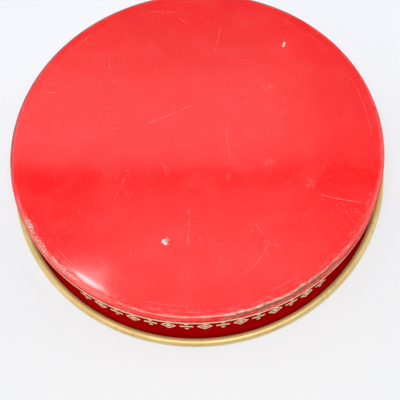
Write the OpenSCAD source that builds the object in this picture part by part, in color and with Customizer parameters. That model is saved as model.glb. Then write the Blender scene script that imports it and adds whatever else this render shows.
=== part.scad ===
// Round serving tray, lying face down: one drawn sheet of steel with a wired, rolled rim.
// Millimetres, +Z up. The origin is the centre of the rim's plane, so the rim stands on z = 0
// and the flat base of the tray is uppermost.

/* [Tray] */
// Diameter across the outside of the rolled rim
rim_d = 305; // [240:1:400]
// Height from the lowest line of the rim to the outside of the base
tray_h = 46; // [30:0.5:70]
// Thickness of the steel sheet
sheet_t = 0.36; // [0.3:0.02:0.7]
// Lean of the wall away from upright, in degrees
wall_lean = 4; // [0:0.5:15]
// Width of the bend between the base and the wall, along the base
bend_w = 3.3; // [2:0.1:9]
// Height of the bend, along the wall
bend_h = 5.2; // [2:0.1:12]

/* [Rolled rim] */
// Outside diameter of the bead that the sheet is rolled into
bead_d = 6; // [4:0.25:9]
// Gap between the raw edge of the rolled sheet and the wall
edge_gap = 0.1; // [0.05:0.05:0.4]

/* [Rim wire] */
// Gap all round between the wire and the sheet rolled over it
wire_play = 0.05; // [0.02:0.01:0.1]
// Gap between the two butted ends of the wire
butt_gap = 1; // [0.5:0.5:4]

/* [Hidden] */

$fn = 180;
enamel_red = "#e0282c";
steel_grey = "#8d9094";

// Degrees between the points that an arc of the section is drawn through.
arc_step = 7;

// The bead's section is a circle of sheet, and its centre runs round the rim.
bead_r = bead_d / 2;
bore_r = bead_r - sheet_t;
bead_at = [rim_d / 2 - bead_r, bead_r];

// The direction that is square to the wall, and outwards.
wall_out = [cos(wall_lean), sin(wall_lean)];

// The wall's outer face is tangent to the bead's bore at its foot, and to the outside of the
// bend at its head, which sets the bend's centre.
wall_foot = bead_at - bore_r * wall_out;
bend_reach = norm([bend_w * wall_out.x, bend_h * wall_out.y]);
bend_z = tray_h - bend_h;
bend_at = [wall_foot.x - (bend_reach + (bend_z - wall_foot.y) * wall_out.y) / wall_out.x, bend_z];

// The sheet rolls under the wire, up outside it and back over it, and its raw edge stops
// short of the wall's outer face by the edge gap.
roll_from = 180 + wall_lean;
roll_to = roll_from + 360 - acos((bore_r - edge_gap) / bead_r);

// The angle round the rim that the wire's butt gap takes up.
butt_turn = 2 * asin(butt_gap / 2 / bead_at.x);

// Points along an oval arc round a centre, from one turn to another. The oval is w across and
// h up from its centre to its outline.
function arc(centre, w, h, from, to) =
    let (steps = ceil(abs(to - from) / arc_step))
    [for (i = [0:steps]) let (a = from + (to - from) * i / steps) centre + [w * cos(a), h * sin(a)]];

// The turn at which such an oval is tangent to the wall.
function wall_turn(w, h) = atan(h / w * tan(wall_lean));

// The bend's outer face, with the sheet's thickness taken off for its inner face.
function bend(inset) =
    let (w = bend_w - inset, h = bend_h - inset)
    arc(bend_at, w, h, 90, wall_turn(w, h));

function reversed(points) = [for (i = [len(points) - 1:-1:0]) points[i]];

// The sheet's outer face, from the middle of the base to the raw edge, and its inner face back.
pan_section = concat(
    [[0, tray_h]],
    bend(0),
    arc(bead_at, bore_r, bore_r, roll_from, roll_to),
    arc(bead_at, bead_r, bead_r, roll_to, roll_from),
    reversed(bend(sheet_t)),
    [[0, tray_h - sheet_t]]
);

module tray_pan() {
    color(enamel_red) rotate_extrude() polygon(pan_section);
}

module rim_wire() {
    color(steel_grey)
        rotate([0, 0, butt_turn / 2])
        rotate_extrude(angle = 360 - butt_turn)
        translate(bead_at)
        circle(bore_r - wire_play);
}

tray_pan();
rim_wire();
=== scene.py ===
"""Round serving tray, lying face down: a drawn sheet of steel, red outside and gold inside,
with its edge rolled outwards over a wire. Blender 4.5, metres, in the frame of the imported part.
"""

import math

import bpy
from mathutils import Matrix, Vector


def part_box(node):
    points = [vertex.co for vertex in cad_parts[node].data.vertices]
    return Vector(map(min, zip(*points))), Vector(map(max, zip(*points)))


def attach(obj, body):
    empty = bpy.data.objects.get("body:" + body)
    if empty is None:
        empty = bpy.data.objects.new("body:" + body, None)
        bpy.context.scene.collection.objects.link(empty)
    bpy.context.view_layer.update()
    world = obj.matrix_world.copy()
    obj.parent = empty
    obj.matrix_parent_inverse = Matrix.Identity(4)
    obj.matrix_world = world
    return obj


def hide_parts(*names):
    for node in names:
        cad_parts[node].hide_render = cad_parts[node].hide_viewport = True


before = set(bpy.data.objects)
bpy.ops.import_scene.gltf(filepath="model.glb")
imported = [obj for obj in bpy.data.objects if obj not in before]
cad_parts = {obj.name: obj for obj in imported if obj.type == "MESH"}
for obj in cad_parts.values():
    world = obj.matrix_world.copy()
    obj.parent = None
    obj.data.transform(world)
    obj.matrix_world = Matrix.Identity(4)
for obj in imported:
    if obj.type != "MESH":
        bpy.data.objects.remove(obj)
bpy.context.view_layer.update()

MM = 0.001

# The tray's section, in millimetres, as the part's source names it. Its width and its height are
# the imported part's.
tray_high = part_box("tray_pan")[1]
RIM_R, TRAY_H = tray_high[0] / MM, tray_high[2] / MM
SHEET_T = 0.36
WALL_LEAN = math.radians(4)
BEND_W, BEND_H = 3.3, 5.2
BEAD_R = 3.0
EDGE_GAP = 0.1

# Where the wall's print coat starts, on the bend.
PRINT_TOP_Z = 44.4

# Sides of every ring of the sheet, how many rings the base has, and how many steps the bend, the
# wall and the roll take. The base's first ring lies this share of their spacing from the middle.
ROUND = 256
BASE_RINGS, BEND_STEPS, WALL_STEPS, ROLL_STEPS = 22, 14, 12, 40
FIRST_RING = 0.3

# The deepest hollow in the stretched middle of the base, how wide its hollows are, and the share
# of the base's radius over which they fade out at its edge.
HOLLOW_DEEP, HOLLOW_WIDE, HOLLOW_FADE = 0.22, 75.0, 1 / 6

# Lower and higher, in mm, than any distance or height that a mask reads.
BELOW_ALL, ABOVE_ALL = -1, 60

# The lowest height that counts as the base, and the lowest that its worn edge reaches.
BASE_FROM_Z, WORN_FROM_Z = TRAY_H - 0.4, TRAY_H - 2


# ------------------------------------------------------------------ small helpers


def srgb(code):
    """An sRGB hex colour as linear RGBA."""
    parts = [int(code[i : i + 2], 16) / 255 for i in (1, 3, 5)]
    return tuple(p / 12.92 if p <= 0.04045 else ((p + 0.055) / 1.055) ** 2.4 for p in parts) + (1.0,)


def add(tree, kind, links=None, **settings):
    """Adds one node. links is {socket name or number: value, or the socket that feeds it}."""
    node = tree.nodes.new(kind)
    for name, value in settings.items():
        setattr(node, name, value)
    for key, value in (links or {}).items():
        if isinstance(value, bpy.types.NodeSocket):
            tree.links.new(value, node.inputs[key])
        else:
            node.inputs[key].default_value = value
    return node


def nothing_selected():
    if bpy.context.object and bpy.context.object.mode != "OBJECT":
        bpy.ops.object.mode_set(mode="OBJECT")
    bpy.ops.object.select_all(action="DESELECT")


# ------------------------------------------------------------------ the drawn sheet


def arc(centre, wide, high, start, end, steps):
    """Points along an oval arc round a centre, from one turn to another."""
    turns = [start + (end - start) * i / steps for i in range(steps + 1)]
    return [(centre[0] + wide * math.cos(turn), centre[1] + high * math.sin(turn)) for turn in turns]


def tray_section():
    """The red face's section from the base to the raw edge, as (radius, height) in mm.

    Returns the base's rings from its middle outwards, then the bend, the wall and the roll."""
    bore_r = BEAD_R - SHEET_T
    bead_at = (RIM_R - BEAD_R, BEAD_R)
    out_x, out_z = math.cos(WALL_LEAN), math.sin(WALL_LEAN)
    foot_x, foot_z = bead_at[0] - bore_r * out_x, bead_at[1] - bore_r * out_z
    bend_z = TRAY_H - BEND_H
    reach = math.hypot(BEND_W * out_x, BEND_H * out_z)
    bend_x = foot_x - (reach + (bend_z - foot_z) * out_z) / out_x

    spacing = bend_x / (BASE_RINGS + FIRST_RING)
    base = [((i + FIRST_RING) * spacing, TRAY_H) for i in range(BASE_RINGS)]

    bend_end = math.atan(BEND_H / BEND_W * math.tan(WALL_LEAN))
    bend = arc((bend_x, bend_z), BEND_W, BEND_H, math.pi / 2, bend_end, BEND_STEPS)

    head_x, head_z = bend[-1]
    parts = [i / WALL_STEPS for i in range(1, WALL_STEPS)]
    wall = [(head_x + (foot_x - head_x) * part, head_z + (foot_z - head_z) * part) for part in parts]

    roll_from = math.pi + WALL_LEAN
    roll_to = roll_from + 2 * math.pi - math.acos((bore_r - EDGE_GAP) / BEAD_R)
    roll = arc(bead_at, bore_r, bore_r, roll_from, roll_to, ROLL_STEPS)
    return base, bend, wall, roll


def draw_sheet(name, rings):
    """Draws a disc of sheet out through rings of (radius, height), and closes its middle."""
    nothing_selected()
    radius, height = rings[0]
    bpy.ops.mesh.primitive_circle_add(vertices=ROUND, radius=radius * MM, location=(0, 0, height * MM))
    sheet = bpy.context.object
    sheet.name = name
    bpy.ops.object.transform_apply(location=True, rotation=True, scale=True)
    bpy.ops.object.mode_set(mode="EDIT")
    bpy.ops.mesh.select_all(action="SELECT")
    for next_radius, next_height in rings[1:]:
        rise = (0, 0, (next_height - height) * MM)
        bpy.ops.mesh.extrude_region_move(TRANSFORM_OT_translate={"value": rise})
        grow = next_radius / radius
        bpy.ops.transform.resize(value=(grow, grow, 1), center_override=(0, 0, 0))
        radius, height = next_radius, next_height
    bpy.ops.object.mode_set(mode="OBJECT")

    # The first ring is found again by its radius, and filled in to one point.
    first_ring = rings[0][0] * MM * 1.01
    for vertex in sheet.data.vertices:
        vertex.select = vertex.co.xy.length < first_ring
    for edge in sheet.data.edges:
        edge.select = all(sheet.data.vertices[i].select for i in edge.vertices)
    bpy.ops.object.mode_set(mode="EDIT")
    bpy.ops.mesh.extrude_region_move(TRANSFORM_OT_translate={"value": (0, 0, 0)})
    bpy.ops.mesh.merge(type="CENTER")

    bpy.ops.mesh.select_all(action="SELECT")
    bpy.ops.mesh.remove_doubles(threshold=1e-7)
    bpy.ops.mesh.normals_make_consistent(inside=False)
    bpy.ops.object.mode_set(mode="OBJECT")
    crown = min(sheet.data.polygons, key=lambda face: face.center.xy.length)
    if crown.normal.z < 0:
        bpy.ops.object.mode_set(mode="EDIT")
        bpy.ops.mesh.select_all(action="SELECT")
        bpy.ops.mesh.flip_normals()
        bpy.ops.object.mode_set(mode="OBJECT")
    return sheet


def hollow_the_base(sheet, base_r):
    """Gives the stretched base its shallow hollows, with none at its edge, as a modifier to apply."""
    soft = sheet.vertex_groups.new(name="stretched_base")
    for vertex in sheet.data.vertices:
        near = 1 - vertex.co.xy.length / base_r
        if near > 0.01 and vertex.co.z > (TRAY_H - 0.1) * MM:
            soft.add([vertex.index], min(1.0, near / HOLLOW_FADE), "REPLACE")
    hollows = bpy.data.textures.new("base_hollows", "CLOUDS")
    hollows.noise_scale = HOLLOW_WIDE * MM
    hollows.noise_depth = 0
    wave = sheet.modifiers.new("wave", "DISPLACE")
    wave.texture = hollows
    wave.texture_coords = "LOCAL"
    wave.direction = "Z"
    wave.vertex_group = "stretched_base"
    wave.mid_level = 1.0
    wave.strength = HOLLOW_DEEP * MM


def make_tray(enamel, ink, lacquer, raw_edge):
    """The tray's sheet, in the place of its CAD node."""
    base, bend, wall, roll = tray_section()
    sheet = draw_sheet("tray_sheet", base + bend + wall + roll)
    hollow_the_base(sheet, bend[0][0] * MM)

    # Each coat of the outer face is followed by the lacquer that backs it, and the enamel then
    # by the raw edge where it ends.
    enamel_slot, ink_slot = 0, 3
    for coat in (enamel, lacquer, raw_edge, ink, lacquer):
        sheet.data.materials.append(coat)

    # The print coat covers the wall, from the lower part of the bend down to the roll.
    roll_r, roll_z = roll[0][0] * MM, roll[0][1] * MM
    for face in sheet.data.polygons:
        in_height = roll_z < face.center.z < PRINT_TOP_Z * MM
        faces_out = face.normal.xy.length > 0.5
        on_wall = in_height and faces_out and face.center.xy.length < roll_r
        face.material_index = ink_slot if on_wall else enamel_slot

    gauge = sheet.modifiers.new("gauge", "SOLIDIFY")
    gauge.thickness = SHEET_T * MM
    gauge.offset = -1
    gauge.use_even_offset = True
    gauge.use_rim = True
    gauge.material_offset = 1
    gauge.material_offset_rim = 2

    nothing_selected()
    sheet.select_set(True)
    bpy.context.view_layer.objects.active = sheet
    bpy.ops.object.modifier_apply(modifier="wave")
    bpy.ops.object.modifier_apply(modifier="gauge")
    sheet.vertex_groups.clear()
    bpy.ops.object.shade_smooth_by_angle(angle=math.radians(40))
    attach(sheet, "root")
    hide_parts("tray_pan")


# ------------------------------------------------------------------ what the finishes are made of


def new_finish(name):
    """A material with only its shader and output, and the point in millimetres that patterns read."""
    material = bpy.data.materials.new(name)
    material.use_nodes = True
    tree = material.node_tree
    tree.nodes.clear()
    shader = add(tree, "ShaderNodeBsdfPrincipled")
    add(tree, "ShaderNodeOutputMaterial", {"Surface": shader.outputs[0]})
    place = add(tree, "ShaderNodeTexCoord").outputs["Object"]
    point = add(tree, "ShaderNodeVectorMath", {0: place, "Scale": 1 / MM}, operation="SCALE").outputs[0]
    return material, tree, shader, point


def round_the_tray(tree, point):
    """The radius and height in mm, and the turn round the tray in radians, of a point."""
    parts = add(tree, "ShaderNodeSeparateXYZ", {0: point}).outputs
    flat = add(tree, "ShaderNodeVectorMath", {0: point, 1: (1, 1, 0)}, operation="MULTIPLY").outputs[0]
    radius = add(tree, "ShaderNodeVectorMath", {0: flat}, operation="LENGTH").outputs["Value"]
    turn = add(tree, "ShaderNodeMath", {0: parts[1], 1: parts[0]}, operation="ARCTAN2").outputs[0]
    return radius, parts[2], turn


def both(tree, *masks):
    """The product of masks."""
    result = masks[0]
    for mask in masks[1:]:
        result = add(tree, "ShaderNodeMath", {0: result, 1: mask}, operation="MULTIPLY").outputs[0]
    return result


def either(tree, *masks):
    """The strongest of masks."""
    result = masks[0]
    for mask in masks[1:]:
        result = add(tree, "ShaderNodeMath", {0: result, 1: mask}, operation="MAXIMUM").outputs[0]
    return result


def coats(tree, under, *over):
    """A colour with others laid over it in order, each as (colour, mask)."""
    for colour, mask in over:
        under = add(tree, "ShaderNodeMix", {0: mask, 6: under, 7: colour}, data_type="RGBA").outputs[2]
    return under


def between(tree, value, low, high, soft):
    """1 where value lies between low and high, fading out over soft outside them."""
    up, down = {0: value, 1: low - soft, 2: low}, {0: value, 1: high, 2: high + soft, 3: 1, 4: 0}
    rise = add(tree, "ShaderNodeMapRange", up, interpolation_type="SMOOTHSTEP").outputs[0]
    fall = add(tree, "ShaderNodeMapRange", down, interpolation_type="SMOOTHSTEP").outputs[0]
    return both(tree, rise, fall)


def spot(tree, point, middle, size, soft, hole=BELOW_ALL):
    """1 between hole and size mm away from a middle, fading out over soft."""
    away = add(tree, "ShaderNodeVectorMath", {0: point, 1: middle}, operation="DISTANCE").outputs["Value"]
    return between(tree, away, hole, size, soft)


def grain(tree, point, size, low=0.0, high=1.0, detail=2.0, longer=1.0, turned=0.0, shifted=(0, 0, 0)):
    """Soft blotches of a size in mm, drawn out along a direction to be so many times longer.
    They are spread so that low and high of the noise become 0 and 1."""
    laid = {0: point, 1: shifted, 2: (0, 0, turned), 3: (longer, 1, 1)}
    placed = add(tree, "ShaderNodeMapping", laid, vector_type="TEXTURE").outputs[0]
    noise = add(tree, "ShaderNodeTexNoise", {"Vector": placed, "Scale": 1 / size, "Detail": detail})
    spread = {0: noise.outputs[0], 1: low, 2: high}
    return add(tree, "ShaderNodeMapRange", spread, interpolation_type="SMOOTHSTEP").outputs[0]


def bowed(tree, point, size, push):
    """A point pushed about, up to push mm, by swells of a size in mm, so that lines on it bow."""
    swells = {"Vector": point, "Scale": 1 / size, "Detail": 1.0}
    swell = add(tree, "ShaderNodeTexNoise", swells, normalize=False).outputs["Color"]
    pushed = {0: swell, 1: (push, push, push), 2: point}
    return add(tree, "ShaderNodeVectorMath", pushed, operation="MULTIPLY_ADD").outputs[0]


def fine_lines(tree, point, ways, bow, spread, patches, crowded=0.0):
    """Lines 10 to 50 mm long and drawn 0.5 mm wide, because real ones are too fine to show. Each
    way that they run is (turn in radians, shift in mm), and shows in patches of its own.

    bow is bowed's size and push, spread is a line's low and high in grain, patches is a patch's
    size, low and high in it, and crowded is a mask where every way shows."""
    bent = bowed(tree, point, *bow)
    layers = []
    for turned, shifted in ways:
        lines = grain(tree, bent, 0.9, *spread, detail=1, longer=30, turned=turned, shifted=shifted)
        patch = either(tree, grain(tree, point, *patches, shifted=shifted), crowded)
        layers.append(both(tree, lines, patch))
    return either(tree, *layers)


def scratch(tree, point, start, end, wide):
    """A scratch from start to end, in mm on the base, that fades out at its ends."""
    middle = ((start[0] + end[0]) / 2, (start[1] + end[1]) / 2, 0)
    length = math.dist(start, end)
    turn = math.atan2(end[1] - start[1], end[0] - start[0])
    moved = add(tree, "ShaderNodeVectorMath", {0: point, 1: middle}, operation="SUBTRACT").outputs[0]
    laid = add(tree, "ShaderNodeMapping", {0: moved, 2: (0, 0, -turn)}).outputs[0]
    along, across, _ = add(tree, "ShaderNodeSeparateXYZ", {0: laid}).outputs
    run = between(tree, along, -length * 0.4, length * 0.4, length * 0.12)
    line = between(tree, across, -wide * 0.2, wide * 0.2, wide * 0.5)
    return both(tree, run, line)


# ------------------------------------------------------------------ the enamel

# Scratches across the base, as two ends and a width in mm.
BASE_SCRATCHES = {
    "long, left of the middle": ((-63, -47), (-54, -29), 0.64),
    "long, towards the middle": ((-39, 15), (0, 27), 0.72),
    "short tick, far left": ((-63, 60), (-58, 55), 0.72),
    "level, at the left edge": ((-118, 53), (-104, 52), 0.64),
    "upright, far left": ((-64, 85), (-64, 69), 0.48),
    "level, at the far edge": ((-30, 126), (-7, 124), 0.72),
    "slanted, at the far edge": ((-3, 115), (7, 106), 0.64),
    "upright, far right": ((28, 104), (22, 75), 0.48),
    "upright, in front": ((-9, -59), (-12, -94), 0.64),
    "upright, in the middle": ((27, 13), (23, -22), 0.48),
    "hooked, at the right, first half": ((88, -60), (97, -64), 0.80),
    "hooked, at the right, second half": ((97, -64), (115, -69), 0.80),
    "faint, in front": ((35, -78), (42, -94), 0.40),
    "faint, at the front edge": ((26, -114), (46, -90), 0.40),
}

# Where hairlines crowd on the base, as a middle and a size in mm.
BASE_SCUFFS = {
    "right of the middle": ((34, 31), 24),
    "far left": ((-63, 65), 24),
    "far right": ((80, 48), 16),
    "front right": ((38, -91), 22),
    "left": ((-59, -34), 20),
    "far edge": ((-30, 118), 22),
    "right edge": ((107, -77), 18),
}

# Pale smudges on the base, as a middle and a size in mm.
BASE_SMUDGES = {
    "far right": ((62, 38), 5),
    "right of the middle": ((53, -29), 5),
    "right": ((80, -49), 6),
    "middle": ((22, -38), 3),
}

# A flaked chip: its middle, and in mm how far it and its core reach, and how deeply its outline
# is eaten in.
CHIP_AT, CHIP_R, CHIP_CORE_R, CHIP_RAGGED = (-27, -84), 3.9, 1.5, 2.6

# A white fleck, as its two ends and its width, and a patch of dark pinpricks, as its middle, its
# size and how softly it ends.
FLECK = ((78.6, 76.8), (80.6, 81.6), 1.7)
PRICKS_AT, PRICKS_R, PRICKS_SOFT = (55, 75), 35, 25

# The ways that hairlines run, as a turn in radians and a shift of their pattern in mm.
HAIRLINE_WAYS = (
    (0.25, (0, 7, 0)),
    (0.95, (30, 0, 3)),
    (1.5, (9, 60, 0)),
    (2.1, (5, 5, 20)),
    (2.75, (70, 3, 9)),
)

# Rings of wear near the edge of the base, and the ring of the painted highlight on the bend, in mm from the
# axis: from, to, and how softly each ends.
WORN_RINGS = {
    "broad": (140.0, 142.1, 0.6),
    "speckled": (138.9, 141.4, 0.4),
    "traces": (140.2, 140.8, 0.4),
    "thread": (141.4, 142.5, 0.2),
    "scuffed": (138, 140.4, 3),
    "bend": (141.3, 150, 2.4),
    "dulled": (133.5, 134.0, 0.4),
}

# Stretches of that edge, as turns round the tray in degrees: from, to, and how softly each ends.
WORN_STRETCHES = {
    "heavy": [(-84, -52, 5)],
    "speckled": [(-154, -131, 6)],
    "traces": [(-128, -88, 5), (-46, -28, 4)],
    # The left stretch is where the painted highlight on the bend is strongest.
    "left": [(-160, -120, 14)],
}

# The stretch behind, in the same way, but with turns counted from 0 to 360.
WORN_BEHIND = (52, 183, 10)

# The radius in mm on which patterns that follow the edge are laid out, how far out the rings'
# ragged outlines wander, and the radii between which a darker brown takes over from bright metal.
WORN_R, WORN_RAGGED = 142, 1.4
BROWN_FROM, BROWN_TO = 140.2, 141.7


def outside(middle):
    """A place on the outside of the base."""
    return (*middle, TRAY_H)


def base_hairlines(tree, point):
    """Hairlines from sliding over tables, every way and slightly bowed."""
    scuffs = [spot(tree, point, outside(middle), size * 0.2, size) for middle, size in BASE_SCUFFS.values()]
    crowded = both(tree, either(tree, *scuffs), grain(tree, point, 9, 0.35, 0.65, shifted=(1, 8, 5)))
    return fine_lines(tree, point, HAIRLINE_WAYS, (35, 9), (0.60, 0.82), (17, 0.50, 0.64), crowded)


def base_scratches(tree, point):
    """The single scratches, slightly bowed, each with skips where it is shallow."""
    bent = bowed(tree, point, 35, 4)
    scratches = [scratch(tree, bent, *drawn) for drawn in BASE_SCRATCHES.values()]
    return both(tree, either(tree, *scratches), grain(tree, point, 4, 0.30, 0.62, detail=3))


def base_smudges(tree, point):
    """Pale smudges, each broken up into fine dabs."""
    spots = [spot(tree, point, outside(middle), size * 0.3, size) for middle, size in BASE_SMUDGES.values()]
    return both(tree, either(tree, *spots), grain(tree, point, 2.5, 0.35, 0.7, detail=3))


def worn_stretches(tree, turn):
    """A mask for each stretch of the edge, by its name."""
    where = {}
    for name, arcs in WORN_STRETCHES.items():
        where[name] = either(tree, *[between(tree, turn, *map(math.radians, ends)) for ends in arcs])
    whole = add(tree, "ShaderNodeMath", {0: turn, 1: 2 * math.pi, 2: 0}, operation="WRAP").outputs[0]
    where["behind"] = between(tree, whole, *map(math.radians, WORN_BEHIND))
    return where


def worn_edge(tree, edge_point, radius, reach, where):
    """Rubbed through to the metal where the tray stands, in streaks along the edge: heavy on the
    front right, a narrow speckled band on the left, traces in front and a thread behind."""
    streaks = grain(tree, edge_point, 0.7, 0.34, 0.54, detail=3, longer=6)
    bites = grain(tree, edge_point, 6, 0.40, 0.58, detail=4, longer=2, shifted=(3, 0, 0))
    specks = grain(tree, edge_point, 1.1, 0.40, 0.54, detail=2, longer=1.4, shifted=(2, 6, 0))
    breaks = grain(tree, edge_point, 5, 0.30, 0.45, detail=3, longer=3)

    broad = between(tree, reach, *WORN_RINGS["broad"])
    broad = both(tree, broad, where["heavy"], either(tree, streaks, 0.55))
    speckled = between(tree, reach, *WORN_RINGS["speckled"])
    speckled = both(tree, speckled, where["speckled"], either(tree, both(tree, streaks, 0.8), bites))
    speckled = both(tree, speckled, either(tree, specks, 0.35))
    traces = between(tree, reach, *WORN_RINGS["traces"])
    traces = both(tree, traces, either(tree, where["traces"], both(tree, where["heavy"], 0.5)))
    traces = both(tree, traces, bites, streaks, 0.7)
    thread = both(tree, between(tree, radius, *WORN_RINGS["thread"]), where["behind"], breaks)
    return either(tree, broad, speckled, traces, thread)


def worn_metal(tree, edge_point, reach, where):
    """The metal that shows there: grey-brown with cream streaks, a darker brown towards the bend
    and behind, and a gritty grey where it is speckled."""
    cream_streaks = grain(tree, edge_point, 0.8, 0.44, 0.62, detail=4, longer=5, shifted=(9, 4, 0))
    outwards = {0: reach, 1: BROWN_FROM, 2: BROWN_TO}
    darker_brown = add(tree, "ShaderNodeMapRange", outwards, interpolation_type="SMOOTHSTEP").outputs[0]
    darker_brown = either(tree, both(tree, darker_brown, where["heavy"]), where["behind"])
    grit = grain(tree, edge_point, 0.9, 0.42, 0.58, detail=2, shifted=(5, 2, 0))
    gritty = coats(tree, srgb("#6f6b5c"), (srgb("#f0e2d8"), grit))
    return coats(
        tree,
        srgb("#8c7660"),
        (srgb("#dccbb0"), cream_streaks),
        (srgb("#704c3e"), both(tree, darker_brown, 0.85)),
        (gritty, both(tree, where["speckled"], 0.85)),
    )


def edge_scuffs(tree, edge_point, radius, where):
    """Gloss scuffed to a pale pink just inside the worn edge, where the tray is gripped and stacked,
    and a painted pale pink highlight along the bend, strongest on the left."""
    worn_near = either(tree, where["heavy"], where["speckled"], where["traces"])
    inner = between(tree, radius, *WORN_RINGS["scuffed"])
    inner = both(tree, inner, grain(tree, edge_point, 1.6, 0.42, 0.70, detail=3, longer=3))
    inner = both(tree, inner, either(tree, both(tree, worn_near, 0.7), 0.2))
    # Along the bend, the pale pink is a painted highlight, not wear.
    bend = between(tree, radius, *WORN_RINGS["bend"])
    bend = both(tree, bend, grain(tree, edge_point, 2.5, 0.26, 0.62, detail=3, longer=5))
    bend = both(tree, bend, either(tree, both(tree, where["left"], 0.8), 0.46))
    return inner, bend


def flaked_chip(tree, point):
    """A chip in ragged flakes, and its darker core."""
    away = {0: point, 1: outside(CHIP_AT)}
    away = add(tree, "ShaderNodeVectorMath", away, operation="DISTANCE").outputs["Value"]
    ragged = {0: grain(tree, point, 2.5, 0.3, 0.7, detail=4), 1: CHIP_RAGGED, 2: away}
    ragged = add(tree, "ShaderNodeMath", ragged, operation="MULTIPLY_ADD").outputs[0]
    flakes = grain(tree, point, 1.5, 0.40, 0.54, detail=2, shifted=(6, 1, 0))
    chip = both(tree, between(tree, ragged, BELOW_ALL, CHIP_R, 0.6), flakes)
    return chip, between(tree, ragged, BELOW_ALL, CHIP_CORE_R, 0.5)


def stoved_enamel():
    """Red stoving enamel on tinned steel, sprayed and baked: a hard wet gloss with a faint
    orange peel, which shows hairlines as pale pink threads and grey metal where it is rubbed off."""
    material, tree, shader, point = new_finish("red_stoving_enamel")
    radius, height, turn = round_the_tray(tree, point)
    on_base = between(tree, height, BASE_FROM_Z, ABOVE_ALL, 0.2)
    where = worn_stretches(tree, turn)

    # A point in mm along, out over and up the edge, and a radius that its wear makes ragged.
    along = add(tree, "ShaderNodeMath", {0: turn, 1: WORN_R}, operation="MULTIPLY").outputs[0]
    edge_point = add(tree, "ShaderNodeCombineXYZ", {0: along, 1: radius, 2: height}).outputs[0]
    ragged = {0: grain(tree, edge_point, 5, 0.3, 0.7, detail=3, longer=2), 1: -WORN_RAGGED, 2: radius}
    reach = add(tree, "ShaderNodeMath", ragged, operation="MULTIPLY_ADD").outputs[0]

    worn = worn_edge(tree, edge_point, radius, reach, where)
    worn = both(tree, worn, between(tree, height, WORN_FROM_Z, ABOVE_ALL, 0.3))
    # The pale pink along the bend is a painted highlight.
    scuffed, painted_bend_highlight = edge_scuffs(tree, edge_point, radius, where)
    dulled_ring = both(tree, between(tree, radius, *WORN_RINGS["dulled"]), grain(tree, point, 30, 0.48, 0.6))
    chip, chip_core = flaked_chip(tree, point)
    fleck = both(tree, scratch(tree, point, *FLECK), on_base)
    pricks = grain(tree, point, 1.4, 0.71, 0.76, detail=1, shifted=(2, 9, 0))
    pricks = both(tree, pricks, spot(tree, point, outside(PRICKS_AT), PRICKS_R, PRICKS_SOFT))

    # All that is scuffed pale, with the painted highlight along the bend, each as strongly as it shows.
    pale = either(
        tree,
        both(tree, base_hairlines(tree, point), on_base, 0.34),
        both(tree, base_smudges(tree, point), 0.32),
        both(tree, dulled_ring, on_base, 0.22),
        both(tree, scuffed, on_base, 0.55),
        painted_bend_highlight,
        both(tree, base_scratches(tree, point), on_base, 0.72),
    )

    # The sprayed coat varies a little in depth, and handling has left a dull film on it.
    depth = grain(tree, point, 55, 0.3, 0.7)
    film = grain(tree, point, 24, 0.45, 0.75, detail=4, shifted=(40, 0, 0))
    colour = coats(
        tree,
        srgb("#f6171a"),
        (srgb("#f1161a"), depth),
        (srgb("#ffb4ac"), either(tree, both(tree, pale, 0.38), both(tree, film, 0.03))),
        (srgb("#7d1214"), both(tree, pricks, 0.7)),
        (srgb("#f0d4ce"), either(tree, chip, fleck)),
        (srgb("#b08f8a"), both(tree, chip_core, 0.7)),
        (worn_metal(tree, edge_point, reach, where), both(tree, worn, 0.85)),
    )
    tree.links.new(colour, shader.inputs["Base Color"])

    tree.links.new(both(tree, worn, 0.3), shader.inputs["Metallic"])
    dull = either(tree, both(tree, film, 0.14), both(tree, pale, 0.4), worn, chip)
    rough = add(tree, "ShaderNodeMapRange", {0: dull, 3: 0.06, 4: 0.5}).outputs[0]
    tree.links.new(rough, shader.inputs["Roughness"])
    shader.inputs["IOR"].default_value = 1.5

    # Orange peel 2 mm across and a few microns deep. Scratches cut in.
    peel = {"Height": grain(tree, point, 2.2, detail=1), "Strength": 0.2, "Distance": 0.01 * MM}
    bumps = add(tree, "ShaderNodeBump", peel).outputs[0]
    marks = either(tree, both(tree, pale, 0.5), worn, chip)
    cut = {"Height": marks, "Strength": 0.4, "Distance": 0.03 * MM, "Normal": bumps}
    cuts = add(tree, "ShaderNodeBump", cut, invert=True).outputs[0]
    tree.links.new(cuts, shader.inputs["Normal"])
    return material


# ------------------------------------------------------------------ the print

# The middle and half the width of the gold line, where the wall's deeper red starts, and the
# middle of the border below it.
GOLD_LINE_Z, GOLD_LINE_HALF, BORDER_Z = 40.2, 1.1, 33.1

# The sheet was printed flat and drawn a little off centre, so the print stands higher by this
# much at this turn round the tray, and as much lower across from it.
PRINT_OFF, PRINT_OFF_AT = 1.0, math.radians(-165)

# The border: one repeat is a lozenge, two dots and a bar. It stands in equal groups with bare
# wall between them, and the middle of the first is at this turn round the tray.
BORDER_REPEATS = 36
BORDER_GROUPS, GROUP_SPAN, FIRST_GROUP = 3, math.radians(74), math.radians(-92)

# The wall's radius at the border, and the length of a repeat.
BORDER_R = 146
BORDER_PITCH = 2 * math.pi * BORDER_R / BORDER_REPEATS

# The motifs, in mm: how far along the wall the lozenge's outline and core reach and its length for
# each unit of its height, half the bar's length and height, and the dots' radius and how far they
# stand from the border's middle.
LOZENGE_FROM, LOZENGE_TO, LOZENGE_CORE, LOZENGE_SLIM = 3.9, 5.4, 2.2, 0.85
BAR_LONG, BAR_HIGH = 4.6, 1.1
DOT_R, DOT_UP = 1.265, 4.6

# Painted shade over the roll, where the wall meets it, is darkest up to the first of these heights, and ends
# at the second.
ROLL_SHADE_Z, ROLL_SHADE_END_Z = 4, 16

# Painted shade darkens the red between the groups: the full strength of that, how far inside a group it ends
# and how softly it does, in radians round the tray.
SHADE_FULL, SHADE_INTO_GROUP, SHADE_SOFT = 0.88, 0.12, 0.35


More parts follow.
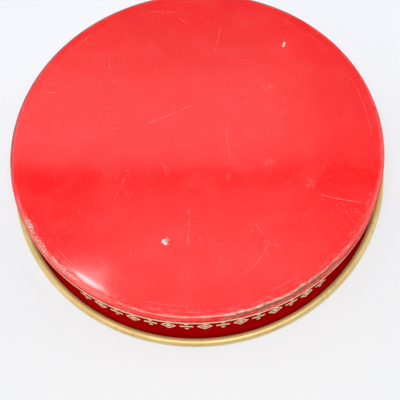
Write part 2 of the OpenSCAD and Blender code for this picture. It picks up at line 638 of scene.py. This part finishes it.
def border_motifs(tree, print_z, swing):
    """The border's lozenges, bars and dots, all round the wall. swing is a turn from a lozenge."""
    turns = {0: swing, 1: BORDER_REPEATS / (2 * math.pi)}
    repeat = add(tree, "ShaderNodeMath", turns, operation="MULTIPLY").outputs[0]
    part = add(tree, "ShaderNodeMath", {0: repeat, 1: 0.5, 2: -0.5}, operation="WRAP").outputs[0]
    along = add(tree, "ShaderNodeMath", {0: part, 1: BORDER_PITCH}, operation="MULTIPLY").outputs[0]
    along = add(tree, "ShaderNodeMath", {0: along}, operation="ABSOLUTE").outputs[0]
    up = add(tree, "ShaderNodeMath", {0: print_z, 1: BORDER_Z}, operation="SUBTRACT").outputs[0]
    up = add(tree, "ShaderNodeMath", {0: up}, operation="ABSOLUTE").outputs[0]

    # The lozenge: an outline with a solid one inside it.
    slanted = {0: up, 1: LOZENGE_SLIM, 2: along}
    slope = add(tree, "ShaderNodeMath", slanted, operation="MULTIPLY_ADD").outputs[0]
    outline = between(tree, slope, LOZENGE_FROM, LOZENGE_TO, 0.3)
    core = between(tree, slope, BELOW_ALL, LOZENGE_CORE, 0.3)

    # Half a repeat away: a bar, with a dot above and below it.
    past = add(tree, "ShaderNodeMath", {0: BORDER_PITCH / 2, 1: along}, operation="SUBTRACT").outputs[0]
    in_length = between(tree, past, BELOW_ALL, BAR_LONG, 0.3)
    bar = both(tree, in_length, between(tree, up, BELOW_ALL, BAR_HIGH, 0.3))
    from_dot = add(tree, "ShaderNodeMath", {0: up, 1: DOT_UP}, operation="SUBTRACT").outputs[0]
    square = add(tree, "ShaderNodeMath", {0: from_dot, 1: from_dot}, operation="MULTIPLY").outputs[0]
    square = add(tree, "ShaderNodeMath", {0: past, 1: past, 2: square}, operation="MULTIPLY_ADD").outputs[0]
    dot = between(tree, square, BELOW_ALL, DOT_R**2, 0.8)
    return either(tree, outline, core, bar, dot)


def printed_wall():
    """Offset-printed ink on the steel wall under a matt varnish: a flatter red than the enamel,
    deeper partly by its own ink and partly as painted shade on the wall, with a border in gold bronze ink
    that catches the light off the table."""
    material, tree, shader, point = new_finish("printed_wall_ink")
    _, height, turn = round_the_tray(tree, point)
    off_turn = add(tree, "ShaderNodeMath", {0: turn, 1: PRINT_OFF_AT}, operation="SUBTRACT").outputs[0]
    off_way = add(tree, "ShaderNodeMath", {0: off_turn}, operation="COSINE").outputs[0]
    lifted = {0: off_way, 1: -PRINT_OFF, 2: height}
    print_z = add(tree, "ShaderNodeMath", lifted, operation="MULTIPLY_ADD").outputs[0]

    # The turn from the middle of the first group, and then from the middle of the nearest one.
    swing = add(tree, "ShaderNodeMath", {0: turn, 1: FIRST_GROUP}, operation="SUBTRACT").outputs[0]
    motifs = border_motifs(tree, print_z, swing)
    half = math.pi / BORDER_GROUPS
    swing = add(tree, "ShaderNodeMath", {0: swing, 1: half, 2: -half}, operation="WRAP").outputs[0]
    group = between(tree, swing, -GROUP_SPAN / 2, GROUP_SPAN / 2, 0.002)
    stripe = between(tree, print_z, GOLD_LINE_Z - GOLD_LINE_HALF, GOLD_LINE_Z + GOLD_LINE_HALF, 0.2)
    print_ink = either(tree, both(tree, motifs, group), stripe)
    print_ink = both(tree, print_ink, grain(tree, point, 1.6, 0.26, 0.38, detail=3))

    # The red is deep below the gold line, partly its own ink and partly painted shade, darker with
    # painted shade over the roll, and deepest with painted shade between the groups of the border.
    # Painted shade darkens the red near the roll.
    low = {0: height, 1: ROLL_SHADE_Z, 2: ROLL_SHADE_END_Z, 3: 0.75, 4: 0}
    painted_roll_shade = add(tree, "ShaderNodeMapRange", low, interpolation_type="SMOOTHSTEP").outputs[0]
    # Painted shade: the red is darkened between the groups, where the wall is bare.
    half_lit = GROUP_SPAN / 2 - SHADE_INTO_GROUP
    unlit = {0: SHADE_FULL, 1: between(tree, swing, -half_lit, half_lit, SHADE_SOFT)}
    shade = add(tree, "ShaderNodeMath", unlit, operation="SUBTRACT", use_clamp=True).outputs[0]
    deep = coats(
        tree,
        srgb("#b80206"),
        (srgb("#c00308"), grain(tree, point, 30, 0.35, 0.65)),
        (srgb("#6e0604"), painted_roll_shade),
        (srgb("#960205"), shade),
    )

    # Above the line it is bright, and paler in patches as a painted highlight on the bend.
    painted_bend_sheen = either(tree, grain(tree, point, 26, 0.40, 0.56), 0.3)
    painted_bend_sheen = both(tree, grain(tree, point, 3, 0.30, 0.60, detail=3), painted_bend_sheen)
    bright = coats(tree, srgb("#f4201a"), (srgb("#f97b69"), painted_bend_sheen))
    bronze = coats(tree, srgb("#ffe9c8"), (srgb("#fbd6aa"), grain(tree, point, 6, 0.35, 0.65, detail=3)))
    above = between(tree, print_z, GOLD_LINE_Z, ABOVE_ALL, 0.2)
    tree.links.new(coats(tree, deep, (bright, above), (bronze, print_ink)), shader.inputs["Base Color"])

    tree.links.new(both(tree, print_ink, 0.6), shader.inputs["Metallic"])
    fine = grain(tree, point, 0.8, 0.2, 0.8)
    rough = add(tree, "ShaderNodeMapRange", {0: fine, 3: 0.36, 4: 0.46}).outputs[0]
    tree.links.new(rough, shader.inputs["Roughness"])
    shader.inputs["Specular IOR Level"].default_value = 0.0
    bumps = add(tree, "ShaderNodeBump", {"Height": fine, "Strength": 0.3, "Distance": 0.01 * MM}).outputs[0]
    tree.links.new(bumps, shader.inputs["Normal"])
    return material


# ------------------------------------------------------------------ the lacquer

# Rings that wet glasses have left on the inside of the base, as a middle and a radius in mm.
GLASS_RINGS = {
    "left of the middle": ((-52, 18), 31),
    "near the front": ((14, -72), 34),
    "right of the middle": ((68, 34), 29),
    "at the far side": ((-14, 86), 33),
    "over the first": ((-30, 34), 31),
}

# Half the width of such a ring, and the radius of the base up to which rings and scuffs show.
GLASS_RING_HALF, INSIDE_R = 0.4, 138

# The ways that scuffs run inside, as a turn in radians and a shift of their pattern in mm.
SCUFF_WAYS = (
    (0.3, (0, 0, 0)),
    (0.9, (50, 20, 0)),
    (1.4, (8, 70, 0)),
    (2.0, (33, 3, 0)),
    (2.7, (4, 44, 0)),
)


def glass_rings(tree, point):
    """The dull rings, broken where the glass didn't touch."""
    rings = []
    for middle, size in GLASS_RINGS.values():
        inside = (*middle, TRAY_H - SHEET_T)
        rings.append(spot(tree, point, inside, size + GLASS_RING_HALF, 0.7, hole=size - GLASS_RING_HALF))
    return both(tree, either(tree, *rings), grain(tree, point, 14, 0.38, 0.60, detail=3, shifted=(3, 9, 0)))


def gold_lacquer():
    """Gold size lacquer, roller-coated on tinplate and baked: a warm satin metal with a soft
    bloom, dark pinholes where it has chipped, fine scuffs, and dull rings left by glasses."""
    material, tree, shader, point = new_finish("gold_lacquer")
    radius, _, _ = round_the_tray(tree, point)
    on_base = between(tree, radius, BELOW_ALL, INSIDE_R, 2)

    tone = grain(tree, point, 18, 0.3, 0.7, detail=3)
    grime = grain(tree, point, 4, 0.60, 0.74, detail=5)
    pinholes = grain(tree, point, 1.7, 0.74, 0.78, detail=2, shifted=(13, 5, 0))
    scuffs = fine_lines(tree, point, SCUFF_WAYS, (40, 11), (0.64, 0.80), (22, 0.48, 0.62))
    scuffs = both(tree, scuffs, on_base)
    rings = both(tree, glass_rings(tree, point), on_base)
    gold = coats(
        tree,
        srgb("#ebd08d"),
        (srgb("#e1c27b"), tone),
        (srgb("#8f7c4c"), both(tree, grime, 0.45)),
        (srgb("#3a2f26"), pinholes),
        (srgb("#efe0bd"), both(tree, scuffs, 0.6)),
        (srgb("#b3934f"), both(tree, rings, 0.55)),
    )
    tree.links.new(gold, shader.inputs["Base Color"])
    shader.inputs["Metallic"].default_value = 0.4
    dull = either(tree, tone, scuffs, rings)
    rough = add(tree, "ShaderNodeMapRange", {0: dull, 3: 0.44, 4: 0.54}).outputs[0]
    tree.links.new(rough, shader.inputs["Roughness"])
    bloom = {"Height": grain(tree, point, 1.2), "Strength": 0.3, "Distance": 0.02 * MM}
    bumps = add(tree, "ShaderNodeBump", bloom).outputs[0]
    tree.links.new(bumps, shader.inputs["Normal"])
    return material


# ------------------------------------------------------------------ bare steel


def sheared_steel():
    """The sheet's raw edge, cut by shears and never coated: dull grey steel with fine score
    lines across its thickness and a little rust."""
    material, tree, shader, point = new_finish("sheared_steel_edge")
    rust = grain(tree, point, 6, 0.5, 0.7, detail=4)
    steel = coats(tree, srgb("#77716a"), (srgb("#5d4636"), rust))
    tree.links.new(steel, shader.inputs["Base Color"])
    shader.inputs["Metallic"].default_value = 0.8
    scores = grain(tree, point, 0.7, 0.2, 0.8)
    rough = add(tree, "ShaderNodeMapRange", {0: scores, 3: 0.42, 4: 0.6}).outputs[0]
    tree.links.new(rough, shader.inputs["Roughness"])
    return material


def drawn_wire():
    """Mild steel wire, cold drawn through a die: bright grey with fine lines along its run and
    a trace of drawing soap."""
    material, tree, shader, point = new_finish("drawn_steel_wire")
    radius, height, turn = round_the_tray(tree, point)

    # A point that moves only 6 mm in a radian round the rim, so that the lines run long.
    along = add(tree, "ShaderNodeMath", {0: turn, 1: 6}, operation="MULTIPLY").outputs[0]
    run = add(tree, "ShaderNodeCombineXYZ", {0: radius, 1: height, 2: along}).outputs[0]
    lines = grain(tree, run, 0.5, 0.25, 0.75)
    soap = grain(tree, point, 8, 0.45, 0.7, detail=3)
    steel = coats(tree, srgb("#8d9094"), (srgb("#a3a6aa"), lines), (srgb("#77756f"), soap))
    tree.links.new(steel, shader.inputs["Base Color"])
    shader.inputs["Metallic"].default_value = 1.0
    rough = add(tree, "ShaderNodeMapRange", {0: lines, 3: 0.28, 4: 0.4}).outputs[0]
    tree.links.new(rough, shader.inputs["Roughness"])
    return material


# ------------------------------------------------------------------ the object

make_tray(stoved_enamel(), printed_wall(), gold_lacquer(), sheared_steel())

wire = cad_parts["rim_wire"]
wire.data.materials.clear()
wire.data.materials.append(drawn_wire())

# ------------------------------------------------------------------ floor and light

# The floor's glow near and far, dimmer near the front as painted shade, how far back along Y each is,
# in metres, and how brightly the studio behind the floor shows to the camera.
FLOOR_GLOW_NEAR, FLOOR_GLOW_FAR = 0.46, 0.58
FLOOR_NEAR_Y, FLOOR_FAR_Y = -0.2, 0.15
BACKDROP = 0.88

# How bright the light tent is along its length: (how far a ray leans to the back for each unit
# that it climbs, brightness). Two panels have a dimmer seam between them.
TENT = (
    (-0.6, 0.20),
    (0.0, 0.60),
    (0.28, 1.20),
    (0.34, 1.40),
    (0.41, 1.10),
    (0.46, 0.90),
    (0.49, 0.55),
    (0.515, 0.50),
    (0.55, 1.30),
    (0.60, 1.52),
    (0.71, 1.38),
    (0.78, 0.96),
    (0.92, 0.42),
    (1.40, 0.40),
)

# The tent stands turned by this much to the tray.
TENT_ASKEW = math.radians(4.8)

# What else glows in the studio: the way to its middle, how far from that it starts to fade and how
# far it ends, how bright it is, and how it fades.
LAMP_WAY = (-0.2085, 0.2850, 0.9355)
GLOWS = {
    "low reflector, left": ((-0.90, -0.34, 0.27), 0.15, 0.8, 1.4, "SMOOTHSTEP"),
    "low reflector, right": ((0.94, 0.05, 0.33), 0.15, 0.8, 1.4, "SMOOTHSTEP"),
    "lamp": (LAMP_WAY, 0.010, 0.040, 22.0, "SMOOTHSTEP"),
    "halo of the lamp": (LAMP_WAY, 0.0, 0.085, 2.9, "SMOOTHERSTEP"),
}

# The soft box: its side and place in metres, and its power in watts.
SOFT_BOX_SIDE, SOFT_BOX_AT, SOFT_BOX_POWER = 0.4, (-0.03, -0.27, 0.72), 3.6


def studio_floor():
    """Matt white paper that glows for the camera and in reflections, dimmer towards the front as
    painted shade. It looks white, but throws less light up than it seems to."""
    material = bpy.data.materials.new("floor_paper")
    material.use_nodes = True
    tree = material.node_tree
    tree.nodes.clear()
    ray = add(tree, "ShaderNodeLightPath").outputs
    seen = either(tree, ray["Is Camera Ray"], ray["Is Glossy Ray"], ray["Is Transmission Ray"])
    place = add(tree, "ShaderNodeTexCoord").outputs["Object"]
    away = add(tree, "ShaderNodeSeparateXYZ", {0: place}).outputs[1]
    back = {0: away, 1: FLOOR_NEAR_Y, 2: FLOOR_FAR_Y}
    far = add(tree, "ShaderNodeMapRange", back, interpolation_type="SMOOTHSTEP").outputs[0]
    paper = coats(tree, srgb("#c0c0c0"), (srgb("#a9aaac"), seen))
    paper = add(tree, "ShaderNodeBsdfDiffuse", {"Color": paper}).outputs[0]
    tint = coats(tree, srgb("#fafafa"), (srgb("#f6f8ff"), far))
    # The glow is dimmer near the front: painted shade.
    level = add(tree, "ShaderNodeMapRange", {0: far, 3: FLOOR_GLOW_NEAR, 4: FLOOR_GLOW_FAR}).outputs[0]
    glow = {"Color": tint, "Strength": both(tree, level, seen)}
    glow = add(tree, "ShaderNodeEmission", glow).outputs[0]
    lit = add(tree, "ShaderNodeAddShader", {0: paper, 1: glow}).outputs[0]
    add(tree, "ShaderNodeOutputMaterial", {"Surface": lit})
    return material


def tent_light(tree, way, climb):
    """The light of the overhead tent, dimmer to the right and towards the horizon."""
    # A ray's lean for each unit that it climbs, backwards and sideways. Below a slight climb, it
    # leans as it would there.
    climbs = either(tree, climb, 0.05)
    leans = []
    for axis in (TENT_ASKEW, TENT_ASKEW + math.pi / 2):
        along = {0: way, 1: (math.sin(axis), math.cos(axis), 0)}
        along = add(tree, "ShaderNodeVectorMath", along, operation="DOT_PRODUCT").outputs["Value"]
        leans.append(add(tree, "ShaderNodeMath", {0: along, 1: climbs}, operation="DIVIDE").outputs[0])
    back, side = leans

    first, last = TENT[0][0], TENT[-1][0]
    stop_at = add(tree, "ShaderNodeMapRange", {0: back, 1: first, 2: last}).outputs[0]
    ramp = add(tree, "ShaderNodeValToRGB", {0: stop_at})
    ramp.color_ramp.interpolation = "EASE"
    for lean, _ in TENT[1:-1]:
        ramp.color_ramp.elements.new((lean - first) / (last - first))
    # The stops hold half of the brightness, so that none is over 1.
    for stop, (_, bright) in zip(ramp.color_ramp.elements, TENT):
        stop.color = (bright / 2, bright / 2, bright / 2, 1)

    # Each is what it goes by, from where, to where, and the light at each, if not 0 and 1.
    fades = {
        "right": {0: side, 1: 0.06, 2: 0.28, 3: 1, 4: 0.44},
        "left": {0: side, 1: -0.34, 2: -0.14, 3: 0.5, 4: 1},
        "far panel": {0: back, 1: 0.50, 2: 0.56},
        "horizon": {0: climb, 1: 0.15, 2: 0.6, 3: 0.35, 4: 1},
    }
    light = {
        name: add(tree, "ShaderNodeMapRange", fade, interpolation_type="SMOOTHSTEP").outputs[0]
        for name, fade in fades.items()
    }
    left = either(tree, light["left"], light["far panel"])
    return both(tree, ramp.outputs[0], 2.0, light["right"], left, light["horizon"])


def studio_world():
    """The light tent, a white reflector low on each side, and one small lamp with a halo behind
    the tray's left side. Seen past the floor, the studio is the same pale paper."""
    world = bpy.data.worlds.new("light_tent")
    bpy.context.scene.world = world
    world.use_nodes = True
    tree = world.node_tree
    tree.nodes.clear()
    way = add(tree, "ShaderNodeTexCoord").outputs["Generated"]
    climb = add(tree, "ShaderNodeSeparateXYZ", {0: way}).outputs[2]
    light = tent_light(tree, way, climb)

    for middle, full, gone, bright, fades in GLOWS.values():
        off = {0: way, 1: Vector(middle).normalized()}
        off = add(tree, "ShaderNodeVectorMath", off, operation="DISTANCE").outputs["Value"]
        fall = {0: off, 1: full, 2: gone, 3: bright, 4: 0}
        glow = add(tree, "ShaderNodeMapRange", fall, interpolation_type=fades).outputs[0]
        light = add(tree, "ShaderNodeMath", {0: light, 1: glow}, operation="ADD").outputs[0]

    seen = add(tree, "ShaderNodeLightPath").outputs["Is Camera Ray"]
    light = add(tree, "ShaderNodeMix", {0: seen, 2: light, 3: BACKDROP}).outputs[0]
    sky = add(tree, "ShaderNodeBackground", {"Color": (1, 1, 1, 1), "Strength": light}).outputs[0]
    add(tree, "ShaderNodeOutputWorld", {"Surface": sky})


nothing_selected()
bpy.ops.mesh.primitive_plane_add(size=8, location=(0, 0, 0))
floor = bpy.context.object
floor.name = "floor"
floor.data.materials.append(studio_floor())

studio_world()

# A soft box over the front gives the tray its even light, a little less at the back.
soft_box = bpy.data.lights.new("soft_box", "AREA")
soft_box.shape = "SQUARE"
soft_box.size = SOFT_BOX_SIDE
soft_box.energy = SOFT_BOX_POWER
lamp = bpy.data.objects.new("soft_box", soft_box)
bpy.context.scene.collection.objects.link(lamp)
lamp.location = SOFT_BOX_AT
lamp.rotation_euler = (-lamp.location).to_track_quat("-Z", "Y").to_euler()

# ------------------------------------------------------------------ camera

# The camera looks steeply down over the tray's front edge, and is rolled a little.
PITCH, YAW, ROLL = math.radians(65.30), math.radians(-0.21), math.radians(5.31)
CAMERA_AT = (0, -0.2382, 0.4449)
FOCAL_MM, SENSOR_MM = 54, 36

ahead = Vector((math.sin(YAW) * math.cos(PITCH), math.cos(YAW) * math.cos(PITCH), -math.sin(PITCH)))
right = Vector((math.cos(YAW), -math.sin(YAW), 0))
down = ahead.cross(right)
across = math.cos(ROLL) * right + math.sin(ROLL) * down
downward = -math.sin(ROLL) * right + math.cos(ROLL) * down
lens = bpy.data.cameras.new("camera")
lens.lens, lens.sensor_width = FOCAL_MM, SENSOR_MM
lens.clip_start = 0.01
camera = bpy.data.objects.new("camera", lens)
bpy.context.scene.collection.objects.link(camera)
pose = Matrix((across, -downward, -ahead)).transposed().to_4x4()
pose.translation = CAMERA_AT
camera.matrix_world = pose
bpy.context.scene.camera = camera
bpy.context.scene.view_settings.view_transform = "Standard"
